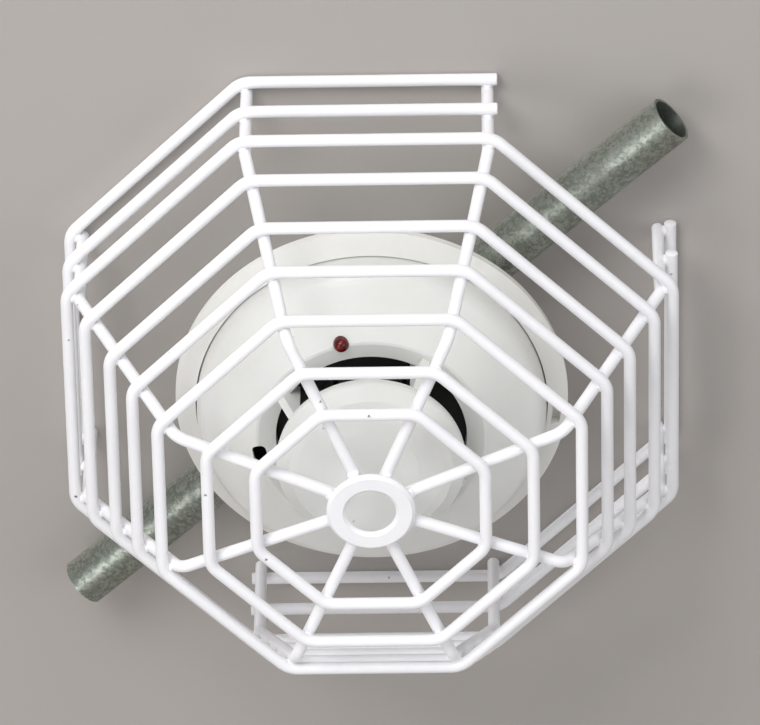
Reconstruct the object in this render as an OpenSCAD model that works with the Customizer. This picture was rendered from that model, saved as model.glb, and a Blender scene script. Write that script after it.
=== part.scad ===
// Round heat detector on a conduit-fed ceiling or wall box, under a welded wire guard.
// Local +Z leaves the wall; place_on_wall() turns it to the row's -Y, so row +Z stays up.

/* [Guard wires] */
// Diameter of the coated guard wire
wire_d = 4.4; // [3.6:0.1:5.4]
// Inside depth that one welded wire sinks into the next
weld_sink = 0.15; // [0.05:0.05:0.3]
// Bend radius at the corners of every hoop
hoop_bend_r = 9; // [7:0.5:14]
// Width across the flats of the three hoops nearest the wall, on the wire's centre
guard_flat = 217; // [180:1:262]
// Distance from the axis to the ribs where they turn in at the front
shoulder_r = 75.3; // [68:0.1:90]
// Bend radius of a rib above the third hoop
knee_bend_r = 6; // [5:0.5:10]
// Bend radius of a rib at the front
shoulder_bend_r = 7; // [6:0.5:9]
// How far a cut hoop runs on past its last rib
hoop_stub = 3.6; // [2:0.2:6]

/* [Guard heights] */
// Height of the second hoop above the wall
hoop_2_z = 22; // [18:0.5:24]
// Height of the third hoop
hoop_3_z = 41.5; // [38:0.5:46]
// Height of the fourth hoop
hoop_4_z = 56.5; // [52:0.5:62]
// Height of the fifth hoop
hoop_5_z = 73.5; // [68:0.5:79]
// Height of the sixth hoop
hoop_6_z = 89; // [84:0.5:95]
// Height of the seventh hoop, at the guard's shoulder
hoop_7_z = 106.2; // [102:0.2:112]
// Rise of each spoke from the shoulder to the middle, for each millimetre inwards
crown_slope = 0.05; // [0.02:0.01:0.08]

/* [Guard front] */
// Width across flats of the outer front ring
front_outer_flat = 115.2; // [104:0.4:124]
// Width across flats of the inner front ring
front_inner_flat = 81.2; // [60:0.4:92]
// Outer diameter of the centre ring
centre_ring_od = 31.4; // [26:0.2:38]
// Hole of the centre ring
centre_ring_id = 17.8; // [14:0.2:22]
// Thickness of the centre ring
centre_ring_t = 3; // [2:0.5:5]

/* [Back box] */
// Width across flats of the octagon box
box_flat = 88.9; // [84:0.1:94]
// Depth of the box
box_depth = 38.1; // [31:0.1:46]
// Thickness of the box's sheet steel
box_wall = 1.6; // [1.2:0.1:2]
// Distance of each device screw from the box's side
screw_inset = 9.525; // [8:0.025:12]
// Circle of the four wall screw holes
wall_hole_pcd = 60; // [50:1:64]
// Diameter of a wall screw hole
wall_hole_d = 5.2; // [4:0.1:6]

/* [Conduit] */
// Outer diameter of the tubing
conduit_od = 17.93; // [14.9:0.01:21.6]
// Wall of the tubing
conduit_wall = 1.07; // [0.8:0.01:1.6]
// Distance from the axis to each cut end
conduit_reach = 147; // [120:1:200]
// Angle of the run, anticlockwise from horizontal
conduit_angle = 42.5; // [30:0.5:60]
// Length of a connector's barrel outside the box
barrel_len = 10; // [9:0.5:20]

/* [Detector base] */
// Width of the base's rim outside the seat
rim_w = 7.3; // [5:0.1:10]
// Radius of the seat that the head turns in
seat_r = 63.4; // [52:0.1:77]
// Height of the seat's top edge above the box
seat_h = 9.4; // [8.8:0.1:11]
// Thickness of the base's floor
base_floor = 2.5; // [2:0.1:3]
// Radius of the wire entry
entry_r = 20; // [16:0.5:21]

/* [Detector head] */
// Gap all round between the head and its seat
seam_gap = 0.5; // [0.4:0.1:1.2]
// Height of the head's upright skirt above the box
skirt_h = 13.4; // [12:0.1:16]
// Radius of the shoulder above the skirt
head_round_r = 8.5; // [6:0.5:10]
// Radius of the crest round the air inlet
crest_r = 41; // [39:0.1:44]
// Height of the crest above the box
crest_h = 31.9; // [29:0.1:34]
// Width of the sill from the crest in to the throat
sill_w = 6.8; // [5:0.1:8]
// Drop from the crest to the throat
sill_drop = 1.7; // [1:0.1:2.5]
// Wall of the moulded cover
cover_wall = 2.2; // [1.8:0.1:2.6]
// Radius of the cap
cap_r = 34; // [31:0.1:35]
// Height of the air inlet, from the crest to the underside of the cap
inlet_h = 10.5; // [8:0.5:14]
// Height of the cap's crown above its rim
cap_crown_h = 6.4; // [4:0.1:8]
// Angle that the head turns through to come free
twist_angle = 20; // [18:1:24]
// Diameter of the alarm lamp
lamp_d = 5.6; // [3:0.2:6.4]

/* [Hidden] */
RIBS = [for (k = [1:8]) str("rib_", k)];
GUARD = concat(RIBS, ["hoop_1_upper", "hoop_1_lower", "hoop_2_upper", "hoop_2_lower", "hoop_3", "hoop_4",
  "hoop_5", "hoop_6", "hoop_7", "front_ring_outer", "front_ring_inner", "centre_ring"]);
BOX = ["back_box", "ground_screw", "conduit_upper", "conduit_lower", "connector_upper", "connector_lower",
  "locknut_upper", "locknut_lower", "connector_set_screws"];
BASE = ["base_ring", "terminal_clips", "clamp_plates", "terminal_screws", "base_screws"];
HEAD = ["head_back", "head_cover", "sensor_cap", "air_baffle", "circuit_board", "contact_blades",
  "case_screws", "board_screws", "thermistor_bead", "thermistor_leads", "thermistor_holder", "alarm_lamp",
  "lamp_leads", "controller_chip", "capacitor", "resistors", "reed_switch"];

// Smoothness of round parts and of wires
$fn = 64;
wire_fn = 24;
// Overlap that makes one cut or one bend run clear through the next
over = 0.3;
// How much thinner a straight wire is than its bends, so that no two surfaces lie together
slim = 0.02;
// Clearance of a screw or a tube in its hole
fit_gap = 0.05;
// Clearance between pieces that move past each other
run_gap = 0.3;

// Guard: the hoops lie outside the ribs, and each rib stands at a corner of the octagon
half_corner = 22.5;
weld_pitch = wire_d - weld_sink;
function corner_r(flat) = (flat / 2 - hoop_bend_r) / cos(half_corner) + hoop_bend_r;
function flat_at_corner(r) = 2 * ((r - hoop_bend_r) * cos(half_corner) + hoop_bend_r);
hoop_1_z = wire_d / 2;
leg_r = corner_r(guard_flat) - weld_pitch;
knee_z = hoop_3_z + 1;
slant = atan((leg_r - shoulder_r) / (hoop_7_z - knee_z));
function rib_r(z) = leg_r - (z - knee_z) * tan(slant);
function slant_flat(z) = flat_at_corner(rib_r(z) + weld_pitch / cos(slant));
// The spokes run from the shoulder to the middle, just under the rings
shoulder_z = hoop_7_z + wire_d / 2 + 0.3;
function spoke_z(r) = shoulder_z + (shoulder_r - r) * crown_slope;
knee = [leg_r, knee_z];
shoulder = [rib_r(shoulder_z), shoulder_z];
hub_r = (centre_ring_od + centre_ring_id) / 4;
hub = [hub_r, spoke_z(hub_r)];
centre_ring_z = spoke_z(hub_r) + wire_d / 2 - weld_sink;

// Box: one flat faces each conduit, and the device screws stand across from them
box_corner_r = 3;
ear_t = 1.6;
ear_w = 12;
ear_edge = 5.3;
device_r = box_flat / 2 - screw_inset;
device_screw_r = 2.05;
knockout_gap = 0.65;
score_w = 0.5;
score_depth = 0.5;
dimple_r = 6;
dimple_h = 3.2;
ground_screw_r = 2.3;
ground_screw_at = 30;
ground_head_r = 4.2;
ground_head_h = 2.8;

// Conduit connectors: the throat passes the knockout and the locknut holds it
box_side = box_flat / 2;
tube_r = conduit_od / 2;
throat_r = tube_r + 1.485;
throat_bore_r = tube_r - conduit_wall + fit_gap;
barrel_r = tube_r + 1.835;
flange_r = barrel_r + 1.8;
flange_t = 2;
tube_stop = box_side + flange_t + 1.5;
locknut_t = 3.5;
locknut_r = throat_r + 3.75;
locknut_notches = 6;
throat_end = box_side - box_wall - locknut_t - 2;
set_screw_r = 2.4;
set_screw_boss_r = 4;
set_screw_boss_h = tube_r + 5.4;
knockout_r = throat_r + knockout_gap;
// The locknut just clears the box's floor, and that sets the tubing's height above the wall
locknut_gap = 0.2;
conduit_z = box_wall + locknut_r + locknut_gap;
set_screw_at = box_side + 7;

// Base, on the open face of the box
base_z = box_depth;
floor_z = base_z + base_floor;
seat_z = base_z + seat_h;
base_rim_r = seat_r + rim_w;
rim_low = 2.4;
rim_high = 5.1;
rim_back_r = base_rim_r - 1.1;
tab_half = twist_angle / 2 - 2;
ledge_half = twist_angle / 2;
// Pocket in the rim where a flat blade frees the head
pocket_in_r = seat_r + 1.8;
pocket_out_r = base_rim_r - 2.3;
pocket_from = -9.5;
pocket_to = -1.5;
pocket_z = base_z + 3;
tab_out_r = seat_r - 7.9;
tab_in_r = tab_out_r - 7;
tab_z = floor_z + 2;
tab_t = 1.6;
ledge_z = tab_z + tab_t + run_gap;
ledge_t = 1.5;
ledge_in_r = tab_out_r - 4.5;
ledge_post_r = tab_out_r + 0.5;
ledge_out_r = ledge_post_r + 2;
stop_w = 2;
clip_turn = conduit_angle - 55;
clip_t = 0.8;
clip_w = 7;
clip_in = entry_r + 3;
clip_out = clip_in + 18;
pad_in = clip_in + 8.5;
pad_rise = 0.3;
terminal_at = clip_in + 4;
terminal_screw_r = 1.9;
clamp_size = 6.4;
clamp_t = 0.8;
terminal_head_r = 3.2;
terminal_head_h = 1.8;
pan_head_r = 3.9;
pan_head_h = 2.2;

// Head: back plate, cover, cap and what they hold
plate_z = ledge_z + ledge_t + 0.5;
plate_t = 2;
skirt_r = seat_r - seam_gap;
skirt_in_r = skirt_r - cover_wall;
skirt_low = plate_z - 1.9;
skirt_top = base_z + skirt_h;
plate_r = skirt_in_r - 0.4;
crest_z = base_z + crest_h;
sill_z = crest_z - sill_drop;
crest_round = 0.5;
inlet_r = crest_r - sill_w;
inlet_low = crest_z - 8.4;
round_mid = [skirt_r - head_round_r, skirt_top];
// The cone from the shoulder to the crest leaves the rounded shoulder at a tangent
crest_dir = [crest_r, crest_z] - round_mid;
cone_turn = atan2(crest_dir.y, crest_dir.x) - acos(head_round_r / norm(crest_dir));
inner_drop = cover_wall / cos(90 - cone_turn);
boss_r = 3.5;
boss_at = tab_in_r - 3;
boss_turn = 35;
case_screw_r = 1.4;
case_head_r = 2.8;
case_head_h = 1.6;
board_z = plate_z + plate_t + 2.5;
board_t = 1.6;
board_r = skirt_in_r - 4.2;
board_top = board_z + board_t;
board_post_r = 3;
board_post_at = board_r - 6.5;
board_post_turn = 105;
board_screw_r = 1.2;
blade_at = clip_out - 5;
blade_t = 0.8;
blade_w = 6;
blade_foot = 6;
blade_low = floor_z + clip_t + pad_rise + run_gap;

// Inlet: a dark baffle cup round the thermistor, four fins and the cap
baffle_floor_t = 1.4;
baffle_top_of_floor = inlet_low - 0.1;
baffle_floor_r = inlet_r + 1.8;
cap_hollow_r = cap_r - 8;
baffle_r = cap_hollow_r - 1;
baffle_wall = 1.2;
baffle_slots = 30;
baffle_slot_w = 2.2;
baffle_leg_at = inlet_r - 2.2;
cap_low = crest_z + inlet_h;
cap_rim_z = cap_low + 4.5;
cap_top = cap_rim_z + cap_crown_h;
cap_bevel = 5;
fin_turn = 59;
fin_in_r = min(cap_r - 3.7, inlet_r - 3.9);
fin_w = 3.2;
holder_r = 3;
bead_r = 2;
bead_z = cap_low - 6;
bead_lead_r = 0.3;
bead_lead_gap = 1.27;
// Slot in the crest for a test key
key_turn = 190;
key_at = crest_r - 0.4;
key_w = 5;
key_len = 1.9;
lamp_at = crest_r + 0.5;
lamp_turn = 104;
lamp_low = sill_z - 6;
lamp_tip = crest_z + 2.2;
lamp_lead_r = 0.25;
lamp_lead_gap = 1.27;

// Turns the local frame, +Z out of the wall, into the row's frame
module place_on_wall() rotate([90, 0, 0]) children();
module at_turn(turn, r = 0) rotate([0, 0, turn]) translate([r, 0, 0]) children();
module tube(r_out, r_in, h) difference() {
  cylinder(r = r_out, h = h);
  translate([0, 0, -over]) cylinder(r = r_in, h = h + 2 * over);
}
module arc_block(r_in, r_out, from_turn, to_turn, h) rotate([0, 0, from_turn])
  rotate_extrude(angle = to_turn - from_turn) translate([r_in, 0]) square([r_out - r_in, h]);

/* Guard */
module wire_bend(r, turn) rotate_extrude(angle = turn, $fn = 48) translate([r, 0])
  circle(d = wire_d, $fn = wire_fn);

// Straight sides of a hoop: side k faces 45 k degrees, and start and end lengthen the first and last
module hoop_sides(flat, first, last, start, end) {
  half = (flat / 2 - hoop_bend_r) * tan(half_corner);
  for (k = [first:last]) {
    low = k == first ? start : -half - over;
    high = k == last ? end : half + over;
    rotate([0, 0, 45 * k]) translate([flat / 2, low, 0]) rotate([-90, 0, 0])
      cylinder(d = wire_d - slim, h = high - low, $fn = wire_fn);
  }
}

module hoop_bends(flat, first, last) {
  for (k = [first:last])
    rotate([0, 0, 45 * k]) translate([flat / 2 - hoop_bend_r, (flat / 2 - hoop_bend_r) * tan(half_corner), 0])
      wire_bend(hoop_bend_r, 45);
}

module whole_hoop(flat, z) color("white") place_on_wall() translate([0, 0, z]) {
  half = (flat / 2 - hoop_bend_r) * tan(half_corner) + over;
  hoop_sides(flat, 0, 7, -half, half);
  hoop_bends(flat, 0, 7);
}

// A cut hoop covers three sides and leaves out the two that the conduit crosses
module cut_hoop(first, z) color("white") place_on_wall() translate([0, 0, z]) {
  reach = leg_r * sin(half_corner) + hoop_stub;
  hoop_sides(guard_flat, first, first + 2, -reach, reach);
  hoop_bends(guard_flat, first, first + 1);
}

module straight_wire(from_point, to_point) {
  run = to_point - from_point;
  translate([from_point.x, 0, from_point.y]) rotate([0, atan2(run.x, run.y), 0])
    translate([0, 0, -over]) cylinder(d = wire_d - slim, h = norm(run) + 2 * over, $fn = wire_fn);
}

// One rib: a leg off the wall, a knee, a sloping side, a shoulder and a spoke to the centre ring
module rib(k) color("white") place_on_wall() rotate([0, 0, 45 * k - half_corner]) {
  lean = 90 - slant;
  rise = atan(crown_slope);
  knee_reach = knee_bend_r * tan(slant / 2);
  shoulder_reach = shoulder_bend_r * tan((lean - rise) / 2);
  side_dir = [-sin(slant), cos(slant)];
  spoke_dir = [-cos(rise), sin(rise)];
  straight_wire([leg_r, over], knee - [0, knee_reach]);
  straight_wire(knee + side_dir * knee_reach, shoulder - side_dir * shoulder_reach);
  straight_wire(shoulder + spoke_dir * shoulder_reach, hub);
  translate([leg_r - knee_bend_r, 0, knee_z - knee_reach]) rotate([90, 0, 0]) mirror([0, 0, 1])
    wire_bend(knee_bend_r, slant);
  shoulder_start = shoulder - side_dir * shoulder_reach;
  shoulder_mid = shoulder_start - shoulder_bend_r * [cos(slant), sin(slant)];
  translate([shoulder_mid.x, 0, shoulder_mid.y]) rotate([90, 0, 0]) mirror([0, 0, 1])
    rotate([0, 0, slant]) wire_bend(shoulder_bend_r, lean - rise);
}

module centre_ring() color("white") place_on_wall() translate([0, 0, centre_ring_z]) {
  edge = 1.1;
  r_in = centre_ring_id / 2;
  r_out = centre_ring_od / 2;
  t = centre_ring_t;
  rotate_extrude() polygon([[r_in, edge], [r_in + edge, 0], [r_out - edge, 0], [r_out, edge],
    [r_out, t - edge], [r_out - edge, t], [r_in + edge, t], [r_in, t - edge]]);
}

function ring_z(flat) = spoke_z(corner_r(flat)) + weld_pitch;

/* Back box and conduit */
// Outline of an octagon whose corners are rounded in three steps
function octagon(flat, round_r) = [for (k = [0:7], s = [0:3])
  let (reach = (flat / 2 - round_r) / cos(half_corner), mid = 45 * k + half_corner, turn = 45 * k + 15 * s)
  [reach * cos(mid) + round_r * cos(turn), reach * sin(mid) + round_r * sin(turn)]];

module along_conduit(u, turn) rotate([0, 0, conduit_angle + turn]) translate([u, 0, conduit_z])
  rotate([0, 90, 0]) children();

module score_ring() difference() {
  cylinder(r = knockout_r + score_w, h = 2 * score_depth, center = true);
  cylinder(r = knockout_r, h = 3 * score_depth, center = true);
}

module dimple_cuts() at_turn(90, ground_screw_at) translate([0, 0, -over]) {
  cylinder(r = dimple_r - box_wall, h = dimple_h - box_wall + over);
  cylinder(r = ground_screw_r + fit_gap, h = dimple_h + 2 * over);
}

module box_shell() difference() {
  linear_extrude(box_depth) polygon(octagon(box_flat, box_corner_r));
  translate([0, 0, box_wall]) linear_extrude(box_depth)
    polygon(octagon(box_flat - 2 * box_wall, box_corner_r - box_wall));
  for (side = [0, 180]) at_turn(side, box_side - 2 * box_wall) translate([0, 0, conduit_z])
    rotate([0, 90, 0]) cylinder(r = knockout_r, h = 3 * box_wall);
  for (side = [45:90:315]) at_turn(side, box_side) translate([0, 0, conduit_z])
    rotate([0, 90, 0]) score_ring();
  translate([0, 0, box_wall]) score_ring();
  for (side = [45:90:315]) at_turn(side, wall_hole_pcd / 2) translate([0, 0, -over])
    cylinder(d = wall_hole_d, h = box_wall + 2 * over);
}

module back_box() color("silver") place_on_wall() rotate([0, 0, conduit_angle]) {
  difference() {
    union() {
      box_shell();
      at_turn(90, ground_screw_at) cylinder(r = dimple_r, h = dimple_h);
    }
    dimple_cuts();
  }
  for (side = [90, 270]) at_turn(side) difference() {
    translate([device_r - ear_edge, -ear_w / 2, box_depth - ear_t])
      cube([box_side - box_wall / 2 - device_r + ear_edge, ear_w, ear_t]);
    translate([device_r, 0, box_depth - 2 * ear_t]) cylinder(r = device_screw_r + fit_gap, h = 3 * ear_t);
  }
}

module ground_screw() color("green") place_on_wall() at_turn(conduit_angle + 90, ground_screw_at)
  difference() {
    union() {
      translate([0, 0, 0.4]) cylinder(r = ground_screw_r, h = dimple_h);
      translate([0, 0, dimple_h]) cylinder(r = ground_head_r, h = ground_head_h, $fn = 6);
    }
    translate([-ground_head_r, -0.6, dimple_h + ground_head_h - 1.2])
      cube([2 * ground_head_r, 1.2, 2]);
  }

module conduit(turn) color("silver") place_on_wall() along_conduit(tube_stop, turn)
  tube(tube_r, tube_r - conduit_wall, conduit_reach - tube_stop);

module connector(turn) color("gainsboro") place_on_wall() difference() {
  union() {
    along_conduit(throat_end, turn) cylinder(r = throat_r, h = box_side - throat_end + over);
    along_conduit(box_side, turn) cylinder(r = flange_r, h = flange_t);
    along_conduit(box_side, turn) cylinder(r = barrel_r, h = flange_t + barrel_len);
    rotate([0, 0, conduit_angle + turn]) translate([set_screw_at, 0, conduit_z])
      cylinder(r = set_screw_boss_r, h = set_screw_boss_h);
  }
  along_conduit(throat_end - over, turn) cylinder(r = throat_bore_r, h = tube_stop);
  along_conduit(tube_stop, turn) cylinder(r = tube_r + fit_gap, h = barrel_len + flange_t);
  rotate([0, 0, conduit_angle + turn]) translate([set_screw_at, 0, conduit_z])
    cylinder(r = set_screw_r + fit_gap, h = set_screw_boss_h + over);
}

module locknut(turn) color("silver") place_on_wall() along_conduit(box_side - box_wall - locknut_t, turn)
  difference() {
    cylinder(r = locknut_r, h = locknut_t);
    translate([0, 0, -over]) cylinder(r = throat_r + fit_gap, h = locknut_t + 2 * over);
    for (k = [1:locknut_notches]) at_turn(360 / locknut_notches * k, locknut_r - 1.5)
      translate([0, -2, -over]) cube([3, 4, locknut_t + 2 * over]);
  }

module connector_set_screws() color("dimgray") place_on_wall() for (turn = [0, 180])
  rotate([0, 0, conduit_angle + turn]) translate([set_screw_at, 0, conduit_z]) difference() {
    translate([0, 0, tube_r + fit_gap])
      cylinder(r = set_screw_r, h = set_screw_boss_h - tube_r);
    translate([-set_screw_r - over, -0.5, set_screw_boss_h - 1]) cube([2 * set_screw_r + 2 * over, 1, 2]);
  }

/* Detector base */
module base_dish() rotate_extrude() polygon([[entry_r, base_z], [base_rim_r - 8, base_z],
  [rim_back_r, base_z + rim_low - 0.8], [base_rim_r, base_z + rim_low], [base_rim_r, base_z + rim_high],
  [seat_r, seat_z], [seat_r, floor_z], [entry_r, floor_z]]);

// One bayonet ledge on its post, with the stop that a tab of the head meets when it is home
module ledge() {
  low = floor_z - over;
  top = ledge_z + ledge_t;
  rotate([0, 0, -ledge_half]) rotate_extrude(angle = 2 * ledge_half) polygon([[ledge_post_r, low],
    [ledge_out_r, low], [ledge_out_r, top], [ledge_in_r, top], [ledge_in_r, ledge_z],
    [ledge_post_r, ledge_z]]);
  translate([0, 0, low]) arc_block(tab_in_r + 1, ledge_out_r - 1, -ledge_half - stop_w, -ledge_half + 0.4,
    top - low - 0.2);
}

module base_ring() color("ivory") place_on_wall() difference() {
  union() {
    base_dish();
    for (k = [0:3]) rotate([0, 0, 90 * k]) ledge();
  }
  for (side = [90, 270]) at_turn(conduit_angle + side, device_r) translate([0, 0, base_z - over])
    cylinder(r = device_screw_r + 0.35, h = base_floor + 2 * over);
  translate([0, 0, pocket_z]) arc_block(pocket_in_r, pocket_out_r, pocket_from, pocket_to, seat_h);
  for (k = [0:3]) at_turn(clip_turn + 90 * k, terminal_at) translate([0, 0, base_z + 0.6])
    cylinder(r = terminal_screw_r + fit_gap, h = base_floor + over);
}

module terminal_clip() difference() {
  translate([0, clip_w / 2, floor_z]) rotate([90, 0, 0]) linear_extrude(clip_w) polygon([[clip_in, 0],
    [clip_out, 0], [clip_out, clip_t], [clip_out - 1, clip_t + pad_rise], [pad_in + 1, clip_t + pad_rise],
    [pad_in, clip_t], [clip_in, clip_t]]);
  translate([terminal_at, 0, floor_z - over]) cylinder(r = terminal_screw_r + fit_gap, h = clip_t + 2 * over);
}

module terminal_clips() color("gold") place_on_wall() for (k = [0:3])
  rotate([0, 0, clip_turn + 90 * k]) terminal_clip();

module clamp_plates() color("gainsboro") place_on_wall() for (k = [0:3])
  at_turn(clip_turn + 90 * k, terminal_at) difference() {
    translate([-clamp_size / 2, -clamp_size / 2, floor_z + clip_t]) cube([clamp_size, clamp_size, clamp_t]);
    translate([0, 0, floor_z]) cylinder(r = terminal_screw_r + fit_gap, h = 4 * clamp_t);
  }

// A pan-head screw, tip at z_low and head on z_seat, with a cross slot
module pan_screw(r, z_low, z_seat, head_r, head_h) difference() {
  union() {
    translate([0, 0, z_low]) cylinder(r = r, h = z_seat - z_low + head_h / 2);
    translate([0, 0, z_seat]) cylinder(r = head_r, h = head_h * 0.6);
    translate([0, 0, z_seat + head_h * 0.6]) cylinder(r1 = head_r, r2 = head_r * 0.7, h = head_h * 0.4);
  }
  for (turn = [0, 90]) rotate([0, 0, turn]) translate([-head_r * 0.6, -0.4, z_seat + head_h * 0.5])
    cube([head_r * 1.2, 0.8, head_h]);
}

module terminal_screws() color("gainsboro") place_on_wall() for (k = [0:3])
  at_turn(clip_turn + 90 * k, terminal_at) pan_screw(terminal_screw_r, base_z + 0.7,
    floor_z + clip_t + clamp_t, terminal_head_r, terminal_head_h);

module base_screws() color("gainsboro") place_on_wall() for (side = [90, 270])
  at_turn(conduit_angle + side, device_r)
    pan_screw(device_screw_r, base_z - 9, floor_z, pan_head_r, pan_head_h);

/* Detector head */
cover_round = [for (s = [0:6]) round_mid + head_round_r * [cos(cone_turn * s / 6), sin(cone_turn * s / 6)]];
inner_round = [for (s = [6:-1:0])
  round_mid + (head_round_r - cover_wall) * [cos(cone_turn * s / 6), sin(cone_turn * s / 6)]];

module cover_shell() rotate_extrude($fn = 96) polygon(concat([[skirt_in_r, skirt_low], [skirt_r, skirt_low]],
  cover_round, [[crest_r + crest_round, crest_z - crest_round * 0.4], [crest_r - crest_round, crest_z - 0.1],
  [inlet_r, sill_z], [inlet_r, inlet_low], [inlet_r + cover_wall, inlet_low],
  [inlet_r + cover_wall, sill_z - cover_wall], [crest_r, crest_z - inner_drop]], inner_round));

module head_cover() color("ivory") place_on_wall() difference() {
  union() {
    cover_shell();
    for (k = [0:2]) intersection() {
      at_turn(boss_turn + 120 * k, boss_at) translate([0, 0, plate_z + plate_t])
        cylinder(r = boss_r, h = crest_z - plate_z);
      translate([0, 0, -1.2]) rotate_extrude() polygon(concat([[0, plate_z], [skirt_r, plate_z]],
        cover_round, [[crest_r, crest_z], [0, crest_z]]));
    }
  }
  for (k = [0:2]) at_turn(boss_turn + 120 * k, boss_at) translate([0, 0, plate_z])
    cylinder(r = case_screw_r + fit_gap, h = plate_t + 9);
  at_turn(lamp_turn, lamp_at) translate([0, 0, lamp_low - over]) cylinder(d = lamp_d + 2 * fit_gap, h = 12);
  at_turn(key_turn, key_at) translate([0, 0, sill_z - 4]) {
    for (side = [-1, 1]) translate([0, side * key_len, 0]) cylinder(d = key_w, h = 8);
    translate([-key_w / 2, -key_len, 0]) cube([key_w, 2 * key_len, 8]);
  }
}

module head_back() color("ivory") place_on_wall() difference() {
  union() {
    translate([0, 0, plate_z]) cylinder(r = plate_r, h = plate_t);
    for (k = [0:3]) rotate([0, 0, 90 * k]) {
      translate([0, 0, tab_z]) arc_block(tab_in_r, tab_out_r, -tab_half, tab_half, tab_t);
      translate([0, 0, tab_z])
        arc_block(tab_in_r, ledge_in_r - 0.5, -tab_half, tab_half, plate_z - tab_z + over);
    }
    for (k = [0:2]) at_turn(board_post_turn + 120 * k, board_post_at) translate([0, 0, plate_z])
      cylinder(r = board_post_r, h = board_z - plate_z);
  }
  for (k = [0:2]) at_turn(boss_turn + 120 * k, boss_at) translate([0, 0, plate_z - over])
    cylinder(r = case_screw_r + fit_gap, h = plate_t + 2 * over);
  for (k = [0:2]) at_turn(board_post_turn + 120 * k, board_post_at) translate([0, 0, plate_z + 0.4])
    cylinder(r = board_screw_r + fit_gap, h = board_z - plate_z);
  for (k = [0:3]) at_turn(clip_turn + 90 * k, blade_at)
    translate([-blade_t / 2 - 0.2, -blade_w / 2 - 0.2, plate_z - over])
      cube([blade_t + 0.4, blade_w + 0.4, plate_t + 1]);
}

module contact_blades() color("gold") place_on_wall() for (k = [0:3]) at_turn(clip_turn + 90 * k, blade_at)
  translate([0, blade_w / 2, blade_low]) rotate([90, 0, 0]) linear_extrude(blade_w) polygon([
    [-blade_foot / 2, 0], [blade_foot / 2, 0], [blade_foot / 2, blade_t], [blade_t / 2, blade_t],
    [blade_t / 2, board_z - blade_low], [-blade_t / 2, board_z - blade_low], [-blade_t / 2, blade_t],
    [-blade_foot / 2, blade_t]]);

module circuit_board() color("darkgreen") place_on_wall() difference() {
  translate([0, 0, board_z]) cylinder(r = board_r, h = board_t);
  for (k = [0:2]) at_turn(boss_turn + 120 * k, boss_at) translate([0, 0, board_z - over])
    cylinder(r = boss_r + 0.5, h = board_t + 2 * over);
  for (k = [0:2]) at_turn(board_post_turn + 120 * k, board_post_at) translate([0, 0, board_z - over])
    cylinder(r = board_screw_r + fit_gap, h = board_t + 2 * over);
}

module case_screws() color("gainsboro") place_on_wall() for (k = [0:2]) at_turn(boss_turn + 120 * k, boss_at)
  translate([0, 0, 2 * plate_z]) mirror([0, 0, 1])
    pan_screw(case_screw_r, plate_z - 9, plate_z, case_head_r, case_head_h);

module board_screws() color("gainsboro") place_on_wall() for (k = [0:2])
  at_turn(board_post_turn + 120 * k, board_post_at)
    pan_screw(board_screw_r, plate_z + 0.5, board_top, 2.4, 1.6);

module air_baffle() color("black") place_on_wall() {
  difference() {
    union() {
      translate([0, 0, baffle_top_of_floor - baffle_floor_t])
        cylinder(r = baffle_floor_r, h = baffle_floor_t);
      translate([0, 0, baffle_top_of_floor - over])
        tube(baffle_r, baffle_r - baffle_wall, cap_low - baffle_top_of_floor + over - 0.1);
      for (k = [0:2]) at_turn(boss_turn + 120 * k, baffle_leg_at) translate([0, 0, board_top])
        cylinder(r = 2, h = baffle_top_of_floor - board_top - over);
    }
    translate([0, 0, baffle_top_of_floor - 2 * baffle_floor_t])
      cylinder(r = holder_r + fit_gap, h = 4 * baffle_floor_t);
    for (k = [1:baffle_slots]) at_turn(360 / baffle_slots * k, baffle_r - 3)
      translate([0, -baffle_slot_w / 2, baffle_top_of_floor + 1.5])
        cube([6, baffle_slot_w, cap_low - baffle_top_of_floor - 3]);
  }
}

module fin() translate([0, fin_w / 2, 0]) rotate([90, 0, 0]) linear_extrude(fin_w) polygon([
  [fin_in_r, baffle_top_of_floor + 0.1], [inlet_r - 0.3, baffle_top_of_floor + 0.1],
  [inlet_r - 0.3, sill_z + 0.2], [crest_r - 2, crest_z - sill_drop * 0.2], [cap_r - 1.5, cap_low + over],
  [fin_in_r, cap_low + over]]);

module sensor_cap() color("ivory") place_on_wall() difference() {
  union() {
    for (k = [0:3]) rotate([0, 0, fin_turn + 90 * k]) fin();
    rotate_extrude($fn = 96) polygon([[0, cap_low], [cap_r - 1.5, cap_low], [cap_r - 0.5, cap_low + 1],
      [cap_r, cap_rim_z - 0.6], [cap_r - 0.5, cap_rim_z + 0.6], [cap_r - cap_bevel, cap_rim_z + 4.4],
      [cap_r - cap_bevel - 3, cap_rim_z + 5.2], [cap_r - cap_bevel - 12, cap_top - 0.3], [0, cap_top]]);
  }
  translate([0, 0, cap_low - over]) cylinder(r = cap_hollow_r, h = cap_rim_z - cap_low + 2);
}

module thermistor_holder() color("white") place_on_wall() difference() {
  translate([0, 0, board_top]) cylinder(r = holder_r, h = baffle_top_of_floor + 2 - board_top);
  for (side = [-1, 1]) translate([side * bead_lead_gap, 0, board_top - over])
    cylinder(r = bead_lead_r + fit_gap, h = baffle_top_of_floor);
}

module thermistor_leads() color("silver") place_on_wall() for (side = [-1, 1])
  translate([side * bead_lead_gap, 0, board_top])
    cylinder(r = bead_lead_r, h = bead_z - board_top - bead_r * 0.55);

module thermistor_bead() color("black") place_on_wall() translate([0, 0, bead_z]) difference() {
  sphere(r = bead_r);
  for (side = [-1, 1]) translate([side * bead_lead_gap, 0, -2 * bead_r])
    cylinder(r = bead_lead_r + fit_gap, h = 1.5 * bead_r);
}

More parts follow.
